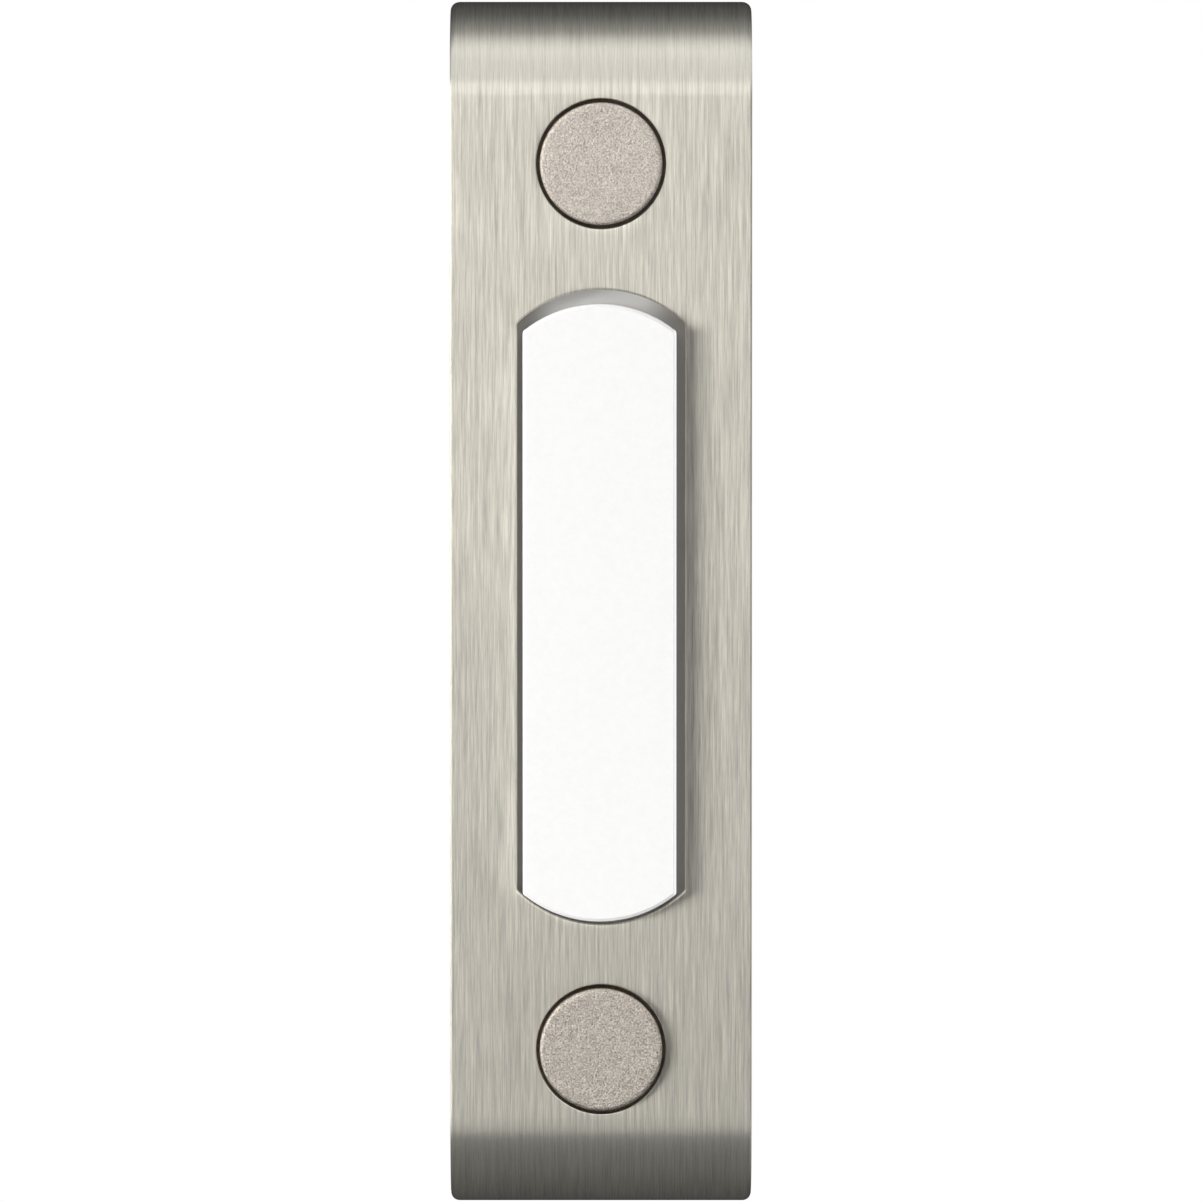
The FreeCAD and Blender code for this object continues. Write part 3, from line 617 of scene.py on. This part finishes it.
# Studio. A pale floor below the plate, which fades to the white of the backdrop, and a white room
# round it. The room's light comes from the front and above. Its own floor and ceiling, which the
# bends mirror, are dimmer, and metal shows the plain white backdrop where the room is bright.
floor_size = 0.6
floor_height = -0.085
floor_glow = 0.2
shadow_reach = 0.12
fade_end = 0.3
white = (1.0, 1.0, 1.0, 1.0)
white_from = 0.7
white_share = 0.5
side_from = 0.45
side_full = 0.9
side_fade_start = 0.15
side_fade_end = 0.6
side_top_share = 0.3
light_by_lift = [
    (-180, 0.05), (-120, 0.13), (-90, 0.17), (-60, 0.22), (-40, 0.285), (-24, 0.43), (-12, 0.57),
    (-5, 0.18), (0, 0.08), (12, 0.65), (30, 1.45), (48, 1.45), (62, 1.85), (74, 1.15), (86, 0.48),
    (100, 0.32), (120, 0.15), (150, 0.08), (180, 0.05)]
light_by_turn = [
    (-180, 0.35), (-100, 0.45), (-60, 0.8), (-38, 0.8), (-22, 0.1), (60, 0.1), (95, 1.2), (180, 0.45)]
floor_mesh = bpy.data.meshes.new("floor")
floor_mesh.from_pydata(
    [(-floor_size, -floor_size, floor_height), (floor_size, -floor_size, floor_height),
     (floor_size, floor_size, floor_height), (-floor_size, floor_size, floor_height)],
    [], [(0, 1, 2, 3)])
floor = bpy.data.objects.new("floor", floor_mesh)
bpy.context.scene.collection.objects.link(floor)
floor.visible_glossy = False


def straight_rays(tree, mirrored=1.0):
    """One where a camera or transmission ray arrives, and the given share where a glossy ray does."""
    seen = add_node(tree, "ShaderNodeLightPath").outputs
    result = calculate(tree, "MULTIPLY", seen["Is Glossy Ray"], mirrored)
    for ray in ("Is Camera Ray", "Is Transmission Ray"):
        result = calculate(tree, "MAXIMUM", result, seen[ray])
    return result


def mixed_shader(tree, share, first, second):
    """The first shader where the share is none, the second where it is one, and their blend between."""
    return add_node(tree, "ShaderNodeMixShader", {0: share, 1: first, 2: second}).outputs["Shader"]


floor_paint = bpy.data.materials.new("floor_paint")
floor_paint.use_nodes = True
floor_tree = floor_paint.node_tree
floor_shader = floor_tree.nodes["Principled BSDF"]
feed(floor_tree, floor_shader, {
    "Base Color": (0.8, 0.8, 0.8, 1.0), "Roughness": 0.9,
    "Emission Color": white, "Emission Strength": floor_glow})
floor_place = add_node(floor_tree, "ShaderNodeTexCoord").outputs["Object"]
floor_distance = add_node(floor_tree, "ShaderNodeVectorMath", {0: floor_place}, operation="LENGTH")
floor_fade = graded(
    floor_tree, floor_distance.outputs["Value"], shadow_reach, fade_end, curve="SMOOTHSTEP")
floor_white = calculate(floor_tree, "MULTIPLY", floor_fade, straight_rays(floor_tree))
backdrop_white = add_node(floor_tree, "ShaderNodeEmission").outputs["Emission"]
faded = mixed_shader(floor_tree, floor_white, floor_shader.outputs["BSDF"], backdrop_white)
below = add_node(floor_tree, "ShaderNodeNewGeometry").outputs["Backfacing"]
clear = add_node(floor_tree, "ShaderNodeBsdfTransparent").outputs["BSDF"]
feed(floor_tree, floor_tree.nodes["Material Output"], {
    "Surface": mixed_shader(floor_tree, below, faded, clear)})
floor_mesh.materials.append(floor_paint)

world = bpy.data.worlds.new("white_room")
bpy.context.scene.world = world
world.use_nodes = True
room = world.node_tree
room.nodes.clear()


def light_ramp(angle, stops):
    """The room's light by an angle: it runs straight from each stop, given as degrees and level, to
    the next."""
    ramp = add_node(room, "ShaderNodeValToRGB", {"Fac": graded(room, angle, -math.pi, math.pi)})
    elements = ramp.color_ramp.elements
    while len(elements) < len(stops):
        elements.new(position=0.5)
    for element, (degrees, level) in zip(elements, stops):
        element.position = (degrees + 180) / 360
        element.color = (level, level, level, 1.0)
    return ramp.outputs["Color"]


room_way = add_node(room, "ShaderNodeTexCoord").outputs["Generated"]
room_split = add_node(room, "ShaderNodeSeparateXYZ", {"Vector": room_way}).outputs
to_front = calculate(room, "MULTIPLY", room_split["Y"], -1.0)
lift = calculate(room, "ARCTAN2", room_split["Z"], to_front)
turned = calculate(room, "ARCTAN2", room_split["X"], to_front)
sideways = calculate(room, "ABSOLUTE", room_split["X"])
upright = calculate(room, "ABSOLUTE", room_split["Z"])
toward_side = graded(room, sideways, side_from, side_full, curve="SMOOTHSTEP")
side_fade = graded(room, upright, side_fade_start, side_fade_end, 1.0, side_top_share)
side_light = calculate(room, "MULTIPLY", side_fade, light_ramp(turned, light_by_turn))
walls = mixed_colour(room, toward_side, light_ramp(lift, light_by_lift), side_light)
bright = graded(room, walls, white_from, 1.0, 0.0, white_share)
backdrop = mixed_colour(room, straight_rays(room, bright), walls, white)
room_glow = add_node(room, "ShaderNodeBackground", {"Color": backdrop})
add_node(room, "ShaderNodeOutputWorld", {"Surface": room_glow.outputs["Background"]})

# Lamps. Three soft lamp boxes stand one over another in front of the plate and to its left, and
# throw the short shadows beside the bar and the caps.
lamp_x = -0.42
lamp_y = -0.27
lamp_width = 0.2
lamp_tint = (1.0, 0.985, 0.96)
for lamp_name, lamp_z, lamp_length, lamp_power in (
        ("key_lamp", 0.03, 0.26, 0.96), ("upper_lamp", 0.07, 0.14, 0.42), ("lower_lamp", -0.18, 0.16, 0.31)):
    light = bpy.data.lights.new(lamp_name, "AREA")
    light.shape = "RECTANGLE"
    light.size = lamp_width
    light.size_y = lamp_length
    light.energy = lamp_power
    light.color = lamp_tint
    lamp = bpy.data.objects.new(lamp_name, light)
    lamp.location = (lamp_x, lamp_y, lamp_z)
    lamp.rotation_euler = Vector((-lamp_x, -lamp_y, 0)).to_track_quat("-Z", "Y").to_euler()
    bpy.context.scene.collection.objects.link(lamp)

# Camera. A long lens about a metre in front of the plate, a little above its middle, that looks
# down at the face by just under three degrees, as in the photograph.
camera_distance = 1.05
camera_aim_height = 0.52
camera_rise = math.radians(2.9)
camera_aim = Vector((0, -cover_face_depth * mm, camera_aim_height * mm))
camera_data = bpy.data.cameras.new("front_camera")
camera_data.sensor_width = 36
camera_data.lens = 374
camera = bpy.data.objects.new("front_camera", camera_data)
camera.location = camera_aim + camera_distance * Vector((0, -math.cos(camera_rise), math.sin(camera_rise)))
camera.rotation_euler = (math.pi / 2 - camera_rise, 0, 0)
bpy.context.scene.collection.objects.link(camera)
bpy.context.scene.camera = camera
bpy.context.scene.view_settings.view_transform = "Standard"
